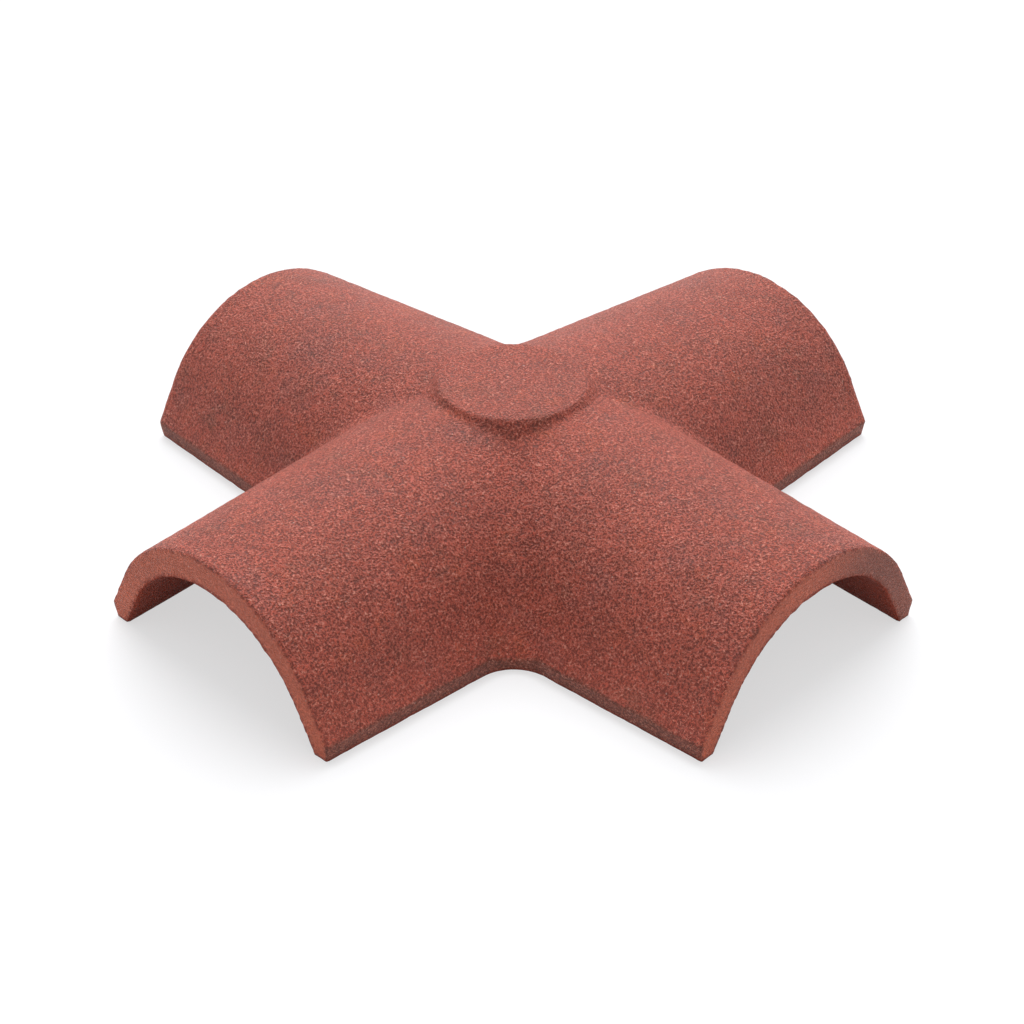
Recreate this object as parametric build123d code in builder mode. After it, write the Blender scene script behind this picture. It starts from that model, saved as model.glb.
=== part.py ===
"""Four-way apex tile: one concrete casting that caps the point where four roof ridges meet.

Four arched arms leave the middle at right angles, along +X, -X, +Y and -Y.  Each arm is a rounded
crest with straight flanks, and it narrows and drops a little towards its open end.  A round pad on
top of the crossing seats a finial.  The tile stands on the flat strips under its feet, which lie in
the plane Z = 0, and the origin is the middle of that plane.
"""

import math
import os

from build123d import *

# Driving dimensions, in millimetres and degrees
ARM_REACH = 280.0              # middle of the tile to the open end of an arm
END_CREST_HEIGHT = 99.5        # top of the crest above the bed, at the open end
MIDDLE_CREST_HEIGHT = 118.5    # top of the crest above the bed, where the crests would meet
END_CREST_RADIUS = 109.5       # outside radius of the crest at the open end
MIDDLE_CREST_RADIUS = 120.0    # outside radius of the crest where the arms cross
FLANK_ANGLE = 61.0             # slope of the flanks, from level
CREST_WALL = 22.0              # thickness of the casting at the crest
FLANK_WALL = 18.0              # thickness of the casting at the flanks
VALLEY_RADIUS = 22.0           # outside blend where two arms meet
BED_WIDTH = 11.5               # flat strip that each foot stands on
FOOT_EDGE_ANGLE = 80.0         # slope of the upright edge of each foot, from level, leaning outwards
ARRIS_ROUND = 2.0              # rounding of the edges of the open ends
PAD_DIAMETER = 107.0           # round pad on top, measured at its rim
PAD_RISE = 0.7                 # pad top above the point where the crests would meet
PAD_SIDE_ANGLE = 56.0          # slope of the pad's side, from level
PAD_COVER = 22.0               # thickness of the casting under the pad
CORE_HUB_DIAMETER = 66.0       # flat round ceiling inside, under the pad

# Worked out from the values above
flank = math.radians(FLANK_ANGLE)
foot_cut = FLANK_WALL / math.sin(flank) - BED_WIDTH  # width that the upright edge cuts off the foot
foot_edge_rise = foot_cut / (1 / math.tan(math.radians(FOOT_EDGE_ANGLE)) + 1 / math.tan(flank))
foot_round = ARRIS_ROUND * 1.5                       # rounding of the upright edge's top
pad_radius = PAD_DIAMETER / 2
pad_height = MIDDLE_CREST_HEIGHT + PAD_RISE
hub_spread = 1 / math.tan(math.radians(PAD_SIDE_ANGLE))  # widening of the hub for each length down
crest_slope = (MIDDLE_CREST_HEIGHT - END_CREST_HEIGHT) / ARM_REACH
pad_step = PAD_RISE + crest_slope * pad_radius       # lowest stretch of the pad's side, over a crest
pad_rim_round = pad_step * 0.4                       # rounding of the pad's rim
pad_foot_blend = pad_step * 0.8                      # blend between the pad's side and the arms
overcut = CREST_WALL / 10                            # how far the core runs past the faces it opens


def arch(station, crest_wall, flank_wall, floor):
    """Centre, radius, shoulder and foot of an arch across an arm, a wall inside its outer face."""
    share = station / ARM_REACH
    crest = MIDDLE_CREST_HEIGHT + (END_CREST_HEIGHT - MIDDLE_CREST_HEIGHT) * share
    outer_radius = MIDDLE_CREST_RADIUS + (END_CREST_RADIUS - MIDDLE_CREST_RADIUS) * share
    radius = outer_radius + (crest_wall * math.cos(flank) - flank_wall) / (1 - math.cos(flank))
    centre = crest - crest_wall - radius
    shoulder_y = radius * math.sin(flank)
    shoulder_z = centre + radius * math.cos(flank)
    foot_y = shoulder_y + (shoulder_z - floor) / math.tan(flank)
    return centre, radius, (shoulder_y, shoulder_z), foot_y


def arm_section(station, crest_wall, flank_wall, floor):
    """Solid arch across an arm, drawn a wall's thickness inside its outer face."""
    centre, radius, (shoulder_y, shoulder_z), foot_y = arch(station, crest_wall, flank_wall, floor)
    with BuildSketch(Plane.YZ.offset(station)) as section:
        with BuildLine():
            CenterArc((0, centre), radius, 90 - FLANK_ANGLE, 2 * FLANK_ANGLE)
            Polyline((shoulder_y, shoulder_z), (foot_y, floor), (-foot_y, floor), (-shoulder_y, shoulder_z))
        make_face()
    return section.sketch


def crossing(crest_wall, flank_wall, floor, reach, hub_radius, hub_top):
    """Hub that widens downwards, four solid arms that start inside it, and blended valleys between them."""
    hub_height = hub_top - floor
    with BuildPart() as arm:
        add(arm_section(hub_radius / 2, crest_wall, flank_wall, floor))
        add(arm_section(reach, crest_wall, flank_wall, floor))
        loft(ruled=True)
    with BuildPart() as cross:
        with Locations((0, 0, floor)):
            Cone(
                hub_radius + hub_spread * hub_height,
                hub_radius,
                hub_height,
                align=(Align.CENTER, Align.CENTER, Align.MIN),
            )
        for quarter in range(4):
            add(arm.part.rotate(Axis.Z, 90 * quarter))
        valleys = cross.edges().filter_by(
            lambda edge: math.isclose(abs(edge.center().X), abs(edge.center().Y), abs_tol=0.01)
            and math.hypot(edge.center().X, edge.center().Y) > hub_radius + 0.01
            and edge.center().Z > floor + 0.01
        )
        fillet(valleys, VALLEY_RADIUS + flank_wall)
    return cross.part


def foot_block():
    """Block with the plan of the bed, whose sides are the upright edges of the feet."""
    past_end = ARM_REACH + overcut
    middle_half = arch(0, 0, 0, 0)[-1] - foot_cut
    end_half = arch(past_end, 0, 0, 0)[-1] - foot_cut
    with BuildPart() as block:
        with BuildSketch() as plan:
            for quarter in range(4):
                with Locations(Rotation(0, 0, 90 * quarter)):
                    Polygon(
                        (0, -middle_half),
                        (past_end, -end_half),
                        (past_end, end_half),
                        (0, middle_half),
                        align=None,
                    )
            corners = plan.vertices().filter_by(
                lambda vertex: math.isclose(abs(vertex.X), abs(vertex.Y), abs_tol=0.01)
            )
            fillet(corners, VALLEY_RADIUS + foot_cut)
        extrude(amount=pad_height + overcut, taper=FOOT_EDGE_ANGLE - 90)
    return block.part


def at_open_end(edge):
    """Whether an edge lies in the plane of an arm's open end."""
    return max(abs(edge.center().X), abs(edge.center().Y)) > ARM_REACH - 0.01


def around_foot(edge):
    """Whether an edge runs along the top of a foot's upright edge."""
    lowest = min((edge @ 0).Z, (edge @ 1).Z)
    highest = max((edge @ 0).Z, (edge @ 1).Z)
    return foot_edge_rise * 0.5 < lowest <= highest < foot_edge_rise * 1.5


def around_pad(edge):
    """Whether an edge runs round the foot of the pad, where its side meets the arms."""
    middle = edge @ 0.5
    side_radius = pad_radius + hub_spread * (pad_height - middle.Z)
    on_side = math.isclose(math.hypot(middle.X, middle.Y), side_radius, abs_tol=0.01)
    return on_side and max((edge @ 0).Z, (edge @ 1).Z) < pad_height - 0.01


with BuildPart() as apex_tile:
    add(crossing(0, 0, 0, ARM_REACH, pad_radius, pad_height))

    # Pad: a blend down to the four arms, and a soft rim
    fillet(apex_tile.edges().filter_by(around_pad), pad_foot_blend)
    fillet(apex_tile.faces().sort_by(Axis.Z)[-1].edges(), pad_rim_round)

    # Feet cut off upright, so that the sharp corner of the flank goes and a flat strip stands on the bed
    add(foot_block(), mode=Mode.INTERSECT)
    fillet(apex_tile.edges().filter_by(around_foot), foot_round)

    # Hollow underneath, a wall's thickness inside the outer face and open at the four ends
    core_reach = ARM_REACH + overcut
    core_top = pad_height - PAD_COVER
    core = crossing(CREST_WALL, FLANK_WALL, -overcut, core_reach, CORE_HUB_DIAMETER / 2, core_top)
    add(core, mode=Mode.SUBTRACT)

    # Worn arris around each open end
    fillet(apex_tile.edges().filter_by(at_open_end), ARRIS_ROUND)

apex_tile.part.label = "apex_tile"

os.makedirs("parts", exist_ok=True)
export_step(apex_tile.part, "parts/apex_tile.step")
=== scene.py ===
"""Looks of the four-way apex tile: its cast, granular red concrete, its camera and a plain studio."""

import math

import bmesh
import bpy
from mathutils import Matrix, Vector


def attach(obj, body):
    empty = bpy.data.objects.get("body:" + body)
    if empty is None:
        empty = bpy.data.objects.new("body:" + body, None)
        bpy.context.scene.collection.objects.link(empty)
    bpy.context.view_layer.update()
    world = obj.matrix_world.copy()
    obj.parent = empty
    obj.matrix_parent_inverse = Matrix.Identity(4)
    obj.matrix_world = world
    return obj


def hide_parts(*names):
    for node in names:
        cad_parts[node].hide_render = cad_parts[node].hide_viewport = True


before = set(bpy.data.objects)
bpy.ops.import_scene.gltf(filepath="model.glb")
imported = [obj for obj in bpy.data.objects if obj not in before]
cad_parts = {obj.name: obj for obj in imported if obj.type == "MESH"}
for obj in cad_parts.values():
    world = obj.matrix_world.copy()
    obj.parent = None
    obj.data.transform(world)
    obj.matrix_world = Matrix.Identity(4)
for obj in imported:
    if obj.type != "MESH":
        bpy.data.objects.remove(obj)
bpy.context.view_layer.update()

# Shape of the casting, in metres
ARM_REACH = 0.280
MESH_STEP = 0.0029
MERGE_DISTANCE = 1e-6
LUMP_SIZE = 0.016
LUMP_HEIGHT = 0.0009
GRAIN_SIZE = 0.0055
GRAIN_HEIGHT = 0.0009
SEAM_OFFSET = 0.0065
SEAM_HALF_WIDTH = 0.0028
SEAM_HEIGHT = 0.0004
CUT_END_DEPTH = (0.0035, 0.0012)    # from where a cut end starts to where it is full
FOOT_EDGE_TOP = (0.0175, 0.0140)    # the same for the upright edge of a foot, by height
LUMP_SEED = 3.0

# Marks on the concrete, in metres
RIDGE_SIZE = 0.0021
GRIT_SIZE = 0.0017
PALE_GRAIN_SIZE = 0.0045
CLOUD_SIZE = 0.050
ORANGE_SIZE = 0.022
VIOLET_SIZE = 0.034
UMBER_SIZE = 0.026
BOUNCE_LIGHT_HEIGHTS = (0.055, 0.012)          # heights between which the flanks get lighter towards the feet, painted light that stands in for light bounced off the floor
# one cut end is darker towards its far foot, around this spot
DARK_END_SPOT = (0.280, 0.085, 0.045)
DARK_END_REACH = (0.105, 0.035)
RELIEF = 0.0014

# How strong each mark is
RIDGE_SHARE = 0.55
GRIT_SHARE = 0.45
ORANGE_SHARE = 0.55
VIOLET_SHARE = 0.45
UMBER_SHARE = 0.55
END_SHARE = 0.75
FOOT_SHADE_SHARE = 0.80
UNDER_SHADE_SHARE = 0.90
DARK_END_SHARE = 0.75
SMOOTHED = 0.60
BASE_TONE = 1.16
PAINTED_BOUNCE_TONE = 0.18
GAP_PAINTED_SHADE = 0.78
CROWN_HIGHLIGHT_SHARE = 0.60
PALE_SHARE = 0.45
PALE_ABOVE = 0.90
ROUGHNESS = 0.58
GLOSS = 0.30
GLOSS_LOST_UNDERNEATH = 0.24

# Colours, linear
BRICK = (0.415, 0.079, 0.049, 1)
DEEP_BRICK = (0.348, 0.068, 0.043, 1)
ORANGE = (0.450, 0.086, 0.039, 1)
VIOLET = (0.260, 0.077, 0.064, 1)
UMBER = (0.231, 0.069, 0.043, 1)
END_BROWN = (0.490, 0.116, 0.060, 1)
# darker brown for one cut end, towards its far foot
DARK_END_BROWN = (0.170, 0.058, 0.042, 1)
# painted shade, brown, for the upright edges of the feet
FOOT_SHADE_BROWN = (0.205, 0.066, 0.043, 1)
# painted shade, maroon, for the faces that look down
UNDER_SHADE_MAROON = (0.250, 0.036, 0.016, 1)
# ridge tops: paler sand with a painted highlight
RIDGE_PINK_HIGHLIGHT = (0.740, 0.330, 0.245, 1)
PALE_GRAIN = (0.660, 0.430, 0.360, 1)
WHITE = (1, 1, 1, 1)
FLOOR_GREY = (0.85, 0.86, 0.89, 1)

# Studio and camera
FLOOR_SIZE = 12
FLOOR_WHITE_SHARE = 0.60
SKY_STRENGTH = 0.56
SUN_ENERGY = 3.7
SUN_WIDTH = 60
SUN_ELEVATION = 52
SUN_TURN = 45
CAMERA_AZIMUTH = 44.883
CAMERA_ELEVATION = 33.94
CAMERA_DISTANCE = 1.5943
CAMERA_SIDE = -0.0007
CAMERA_LIFT = 0.0054
SENSOR_WIDTH = 36
LENS = 75.39

scene = bpy.context.scene
scene.view_settings.view_transform = "Standard"


# Node helpers

def place(tree, kind, settings=None, **inputs):
    """Adds a node. An input named like _2 is the socket with that index; a socket as its value is linked."""
    made = tree.nodes.new(kind)
    for name, value in (settings or {}).items():
        setattr(made, name, value)
    for name, value in inputs.items():
        socket = made.inputs[int(name[1:])] if name[0] == "_" else made.inputs[name.replace("_", " ")]
        if isinstance(value, bpy.types.NodeSocket):
            tree.links.new(value, socket)
        else:
            socket.default_value = value
    return made


def maths(tree, operation, first, second=None):
    inputs = {"_0": first}
    if second is not None:
        inputs["_1"] = second
    return place(tree, "ShaderNodeMath", {"operation": operation}, **inputs).outputs[0]


def times(tree, first, second):
    return maths(tree, "MULTIPLY", first, second)


def ramp(tree, value, start, end):
    """Eases a value from 0 at start to 1 at end."""
    settings = {"interpolation_type": "SMOOTHSTEP"}
    return place(tree, "ShaderNodeMapRange", settings, _0=value, _1=start, _2=end).outputs[0]


def noise(tree, where, size, detail, roughness, seed):
    """Noise around 0.5 whose features are about that size, in metres."""
    settings = {"noise_dimensions": "4D"}
    scale = maths(tree, "DIVIDE", 1.0, size) if isinstance(size, bpy.types.NodeSocket) else 1 / size
    made = place(
        tree, "ShaderNodeTexNoise", settings,
        Vector=where, W=seed, Scale=scale, Detail=detail, Roughness=roughness,
    )
    return made.outputs[0]


def mix_colour(tree, share, first, second, blend="MIX"):
    settings = {"data_type": "RGBA", "blend_type": blend}
    return place(tree, "ShaderNodeMix", settings, _0=share, _6=first, _7=second).outputs[2]


# Concrete

def red_concrete():
    material = bpy.data.materials.new("red_concrete")
    material.use_nodes = True
    tree = material.node_tree
    tree.nodes.clear()
    where = place(tree, "ShaderNodeTexCoord").outputs["Object"]

    def stored(name):
        return place(tree, "ShaderNodeAttribute", {"attribute_name": name}).outputs["Fac"]

    def tinted(colour, mark, share, tint):
        return mix_colour(tree, times(tree, mark, share), colour, tint)

    cut_end = stored("cut_end")
    facing_down = stored("facing_down")

    # Grain: short crooked ridges of sand and cement, with finer grit over them
    crooked = noise(tree, where, RIDGE_SIZE, 1.0, 0.5, 6.6)
    off_middle = maths(tree, "ABSOLUTE", maths(tree, "SUBTRACT", crooked, 0.5))
    ridge = ramp(tree, off_middle, 0.085, 0.0)
    grit = ramp(tree, noise(tree, where, GRIT_SIZE, 1.0, 0.5, 2.3), 0.30, 0.70)
    height = maths(tree, "ADD", times(tree, ridge, RIDGE_SHARE), times(tree, grit, GRIT_SHARE))

    # Clouds of pigment: brick red, orange, grey violet and umber
    cloud = noise(tree, where, CLOUD_SIZE, 5.0, 0.62, 1.7)
    colour = mix_colour(tree, ramp(tree, cloud, 0.36, 0.66), BRICK, DEEP_BRICK)
    orange = ramp(tree, noise(tree, where, ORANGE_SIZE, 4.0, 0.65, 8.1), 0.52, 0.72)
    colour = tinted(colour, orange, ORANGE_SHARE, ORANGE)
    violet = ramp(tree, noise(tree, where, VIOLET_SIZE, 5.0, 0.65, 4.4), 0.50, 0.70)
    colour = tinted(colour, violet, VIOLET_SHARE, VIOLET)
    umber = ramp(tree, noise(tree, where, UMBER_SIZE, 5.0, 0.65, 5.9), 0.52, 0.72)
    colour = tinted(colour, umber, UMBER_SHARE, UMBER)

    # Browner on the cut ends; the upright edges of the feet browner and darkened with painted shade; painted
    # shade, deep maroon, underneath; one end darker towards its far foot
    colour = tinted(colour, cut_end, END_SHARE, END_BROWN)
    # Painted shade: the upright edges of the feet are darkened towards brown
    colour = tinted(colour, stored("foot_edge"), FOOT_SHADE_SHARE, FOOT_SHADE_BROWN)
    # Painted shade: the underside is darkened to maroon
    colour = tinted(colour, facing_down, UNDER_SHADE_SHARE, UNDER_SHADE_MAROON)
    # One cut end is made darker towards its far foot
    away = place(tree, "ShaderNodeVectorMath", {"operation": "DISTANCE"}, _0=where, _1=DARK_END_SPOT)
    darkened_end = times(tree, ramp(tree, away.outputs["Value"], *DARK_END_REACH), cut_end)
    colour = tinted(colour, darkened_end, DARK_END_SHARE, DARK_END_BROWN)

    # The gaps between the ridges are darkened with painted shade, the tops of the ridges are pink, partly as
    # paler sand and partly as painted highlight, and a few grains are pale
    smooth = maths(tree, "MAXIMUM", cut_end, facing_down)
    even = maths(tree, "SUBTRACT", 1.0, times(tree, smooth, SMOOTHED))
    # Painted shade in the low gaps of the grain
    gap_shade = times(tree, ramp(tree, height, 0.50, 0.05), even)
    above_bed = place(tree, "ShaderNodeSeparateXYZ", _0=where).outputs[2]
    # Painted light: the flanks are lightened towards the feet, in place of floor bounce
    painted_bounce = ramp(tree, above_bed, *BOUNCE_LIGHT_HEIGHTS)
    tone = maths(tree, "ADD", BASE_TONE, times(tree, painted_bounce, PAINTED_BOUNCE_TONE))
    shade = maths(tree, "SUBTRACT", tone, times(tree, gap_shade, GAP_PAINTED_SHADE))
    grey = place(tree, "ShaderNodeCombineColor", _0=shade, _1=shade, _2=shade).outputs[0]
    colour = mix_colour(tree, 1.0, colour, grey, "MULTIPLY")
    # Ridge tops turn pink: partly paler sand, partly painted highlight
    crown_highlight = times(tree, ramp(tree, height, 0.60, 1.0), even)
    colour = tinted(colour, crown_highlight, CROWN_HIGHLIGHT_SHARE, RIDGE_PINK_HIGHLIGHT)
    grains = place(tree, "ShaderNodeTexVoronoi", Vector=where, Scale=1 / PALE_GRAIN_SIZE)
    chosen = place(tree, "ShaderNodeSeparateColor", _0=grains.outputs["Color"]).outputs[0]
    picked = maths(tree, "GREATER_THAN", chosen, PALE_ABOVE)
    pale = times(tree, picked, ramp(tree, grains.outputs["Distance"], 0.17, 0.10))
    colour = tinted(colour, pale, PALE_SHARE, PALE_GRAIN)

    bump = place(tree, "ShaderNodeBump", Strength=1.0, Distance=RELIEF, Height=height)
    gloss = maths(tree, "SUBTRACT", GLOSS, times(tree, facing_down, GLOSS_LOST_UNDERNEATH))
    surface = place(
        tree, "ShaderNodeBsdfPrincipled",
        Base_Color=colour, Roughness=ROUGHNESS, Specular_IOR_Level=gloss, Normal=bump.outputs[0],
    )
    place(tree, "ShaderNodeOutputMaterial", Surface=surface.outputs[0])
    return material


# Cast surface

def cast_surface(material):
    """Marks the faces of the casting, then raises lumps, grain and the mould seam along the normals."""
    tree = bpy.data.node_groups.new("cast surface", "GeometryNodeTree")
    face = tree.interface
    face.new_socket("Geometry", in_out="OUTPUT", socket_type="NodeSocketGeometry")
    face.new_socket("Geometry", in_out="INPUT", socket_type="NodeSocketGeometry")
    names = (
        "Lump Size", "Lump Height", "Grain Size", "Grain Height",
        "Seam Height", "Seam Offset", "Reach", "Seed",
    )
    for name in names:
        face.new_socket(name, in_out="INPUT", socket_type="NodeSocketFloat")
    given = place(tree, "NodeGroupInput").outputs
    here = place(tree, "GeometryNodeInputPosition").outputs[0]
    normal = place(tree, "GeometryNodeInputNormal").outputs[0]

    def parts(vector):
        return place(tree, "ShaderNodeSeparateXYZ", _0=vector).outputs

    def size(value):
        return maths(tree, "ABSOLUTE", value)

    def keep(geometry, name, value):
        made = place(
            tree, "GeometryNodeStoreNamedAttribute", {"data_type": "FLOAT", "domain": "POINT"},
            Geometry=geometry, Name=name, Value=value,
        )
        return made.outputs[0]

    # How far out along an arm, how high, and which way the surface looks
    x, y, z = parts(here)
    to_end = maths(tree, "SUBTRACT", given["Reach"], maths(tree, "MAXIMUM", size(x), size(y)))
    nx, ny, nz = parts(normal)
    outward = maths(tree, "MAXIMUM", size(nx), size(ny))
    cut_end = times(tree, ramp(tree, to_end, *CUT_END_DEPTH), ramp(tree, outward, 0.75, 0.95))
    upright = times(tree, ramp(tree, size(nz), 0.40, 0.24), ramp(tree, z, *FOOT_EDGE_TOP))
    foot_edge = times(tree, upright, maths(tree, "SUBTRACT", 1.0, cut_end))
    geometry = keep(given["Geometry"], "cut_end", cut_end)
    geometry = keep(geometry, "foot_edge", foot_edge)
    geometry = keep(geometry, "facing_down", ramp(tree, nz, -0.15, -0.40))

    # Lumps, grain and the seam; nothing goes below the bed
    lump = maths(tree, "SUBTRACT", noise(tree, here, given["Lump Size"], 2.0, 0.5, given["Seed"]), 0.5)
    grain = maths(tree, "SUBTRACT", noise(tree, here, given["Grain Size"], 1.0, 0.5, given["Seed"]), 0.5)
    raised = maths(
        tree, "ADD", times(tree, lump, given["Lump Height"]), times(tree, grain, given["Grain Height"])
    )
    diagonal = times(tree, maths(tree, "ADD", x, y), math.sqrt(0.5))
    from_seam = size(maths(tree, "SUBTRACT", diagonal, given["Seam Offset"]))
    seam = ramp(tree, from_seam, SEAM_HALF_WIDTH, 0.0)
    seam = times(tree, times(tree, seam, given["Seam Height"]), ramp(tree, nz, 0.2, 0.4))
    raised = maths(tree, "ADD", raised, seam)
    push = place(tree, "ShaderNodeVectorMath", {"operation": "SCALE"}, _0=normal, Scale=raised).outputs[0]
    moved = place(tree, "ShaderNodeVectorMath", {"operation": "ADD"}, _0=here, _1=push).outputs[0]
    mx, my, mz = parts(moved)
    moved = place(tree, "ShaderNodeCombineXYZ", _0=mx, _1=my, _2=maths(tree, "MAXIMUM", mz, 0.0)).outputs[0]
    geometry = place(tree, "GeometryNodeSetPosition", Geometry=geometry, Position=moved).outputs[0]
    geometry = place(tree, "GeometryNodeSetShadeSmooth", Geometry=geometry).outputs[0]
    geometry = place(tree, "GeometryNodeSetMaterial", Geometry=geometry, Material=material).outputs[0]
    place(tree, "NodeGroupOutput", _0=geometry)
    return tree


def nodes_modifier(target, tree, **values):
    modifier = target.modifiers.new(tree.name, "NODES")
    modifier.node_group = tree
    for item in tree.interface.items_tree:
        if item.in_out == "INPUT" and item.name.replace(" ", "_") in values:
            modifier[item.identifier] = values[item.name.replace(" ", "_")]


def as_mesh(source, name):
    """A plain mesh object of what a source's modifiers make; the source goes."""
    shape = bpy.data.meshes.new_from_object(source.evaluated_get(bpy.context.evaluated_depsgraph_get()))
    shape.name = name
    made = bpy.data.objects.new(name, shape)
    scene.collection.objects.link(made)
    bpy.data.objects.remove(source)
    return made


def cast_tile(material):
    """The tile's casting: an even mesh of a merged copy of the solid, with the cast surface on it."""
    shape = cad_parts["apex_tile"].data.copy()
    work = bmesh.new()
    work.from_mesh(shape)
    bmesh.ops.remove_doubles(work, verts=work.verts, dist=MERGE_DISTANCE)
    work.to_mesh(shape)
    work.free()
    shape.materials.clear()
    source = bpy.data.objects.new("tile_source", shape)
    scene.collection.objects.link(source)
    even = source.modifiers.new("even mesh", "REMESH")
    even.mode = "SHARP"
    even.octree_depth = 8
    even.scale = 2 * ARM_REACH / MESH_STEP / 2 ** even.octree_depth
    even.use_remove_disconnected = False
    nodes_modifier(
        source, cast_surface(material),
        Lump_Size=LUMP_SIZE, Lump_Height=LUMP_HEIGHT, Grain_Size=GRAIN_SIZE, Grain_Height=GRAIN_HEIGHT,
        Seam_Height=SEAM_HEIGHT, Seam_Offset=SEAM_OFFSET, Reach=ARM_REACH, Seed=LUMP_SEED,
    )
    tile = as_mesh(source, "tile_casting")
    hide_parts("apex_tile")
    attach(tile, "root")


# Studio

def seen(tree):
    """1 for what the camera sees, straight on, in a gloss or through glass; 0 for light on the tile."""
    path = place(tree, "ShaderNodeLightPath").outputs
    mirrored = maths(tree, "MAXIMUM", path["Is Glossy Ray"], path["Is Transmission Ray"])
    return maths(tree, "MAXIMUM", path["Is Camera Ray"], mirrored)


def floor():
    bpy.ops.mesh.primitive_plane_add(size=FLOOR_SIZE, location=(0, 0, 0))
    made = bpy.context.object
    made.name = "studio_floor"
    material = bpy.data.materials.new("studio_floor")
    material.use_nodes = True
    tree = material.node_tree
    tree.nodes.clear()
    diffuse = place(tree, "ShaderNodeBsdfDiffuse", Color=FLOOR_GREY)
    white = place(tree, "ShaderNodeEmission", Color=WHITE, Strength=1.0)
    share = times(tree, seen(tree), FLOOR_WHITE_SHARE)
    both = place(tree, "ShaderNodeMixShader", _0=share, _1=diffuse.outputs[0], _2=white.outputs[0])
    place(tree, "ShaderNodeOutputMaterial", Surface=both.outputs[0])
    made.data.materials.append(material)


def light():
    """A white sky all round, and a wide soft sun from behind the tile."""
    world = bpy.data.worlds.new("studio")
    scene.world = world
    world.use_nodes = True
    tree = world.node_tree
    tree.nodes.clear()
    around = place(tree, "ShaderNodeBackground", Color=WHITE, Strength=SKY_STRENGTH)
    behind = place(tree, "ShaderNodeBackground", Color=WHITE, Strength=1.0)
    both = place(tree, "ShaderNodeMixShader", _0=seen(tree), _1=around.outputs[0], _2=behind.outputs[0])
    place(tree, "ShaderNodeOutputWorld", Surface=both.outputs[0])
    lamp = bpy.data.lights.new("overhead", "SUN")
    lamp.energy = SUN_ENERGY
    lamp.angle = math.radians(SUN_WIDTH)
    made = bpy.data.objects.new("overhead", lamp)
    scene.collection.objects.link(made)
    made.rotation_euler = (math.radians(SUN_ELEVATION - 90), 0, math.radians(SUN_TURN))


def camera():
    azimuth = math.radians(CAMERA_AZIMUTH)
    elevation = math.radians(CAMERA_ELEVATION)
    level = math.cos(elevation)
    back = Vector((math.sin(azimuth) * level, -math.cos(azimuth) * level, math.sin(elevation)))
    right = Vector((math.cos(azimuth), math.sin(azimuth), 0))
    up = back.cross(right)
    lens = bpy.data.cameras.new("photo_camera")
    lens.sensor_width = SENSOR_WIDTH
    lens.lens = LENS
    made = bpy.data.objects.new("photo_camera", lens)
    scene.collection.objects.link(made)
    made.location = CAMERA_DISTANCE * back + CAMERA_SIDE * right + CAMERA_LIFT * up
    made.rotation_euler = (math.pi / 2 - elevation, 0, azimuth)
    scene.camera = made


cast_tile(red_concrete())
floor()
light()
camera()
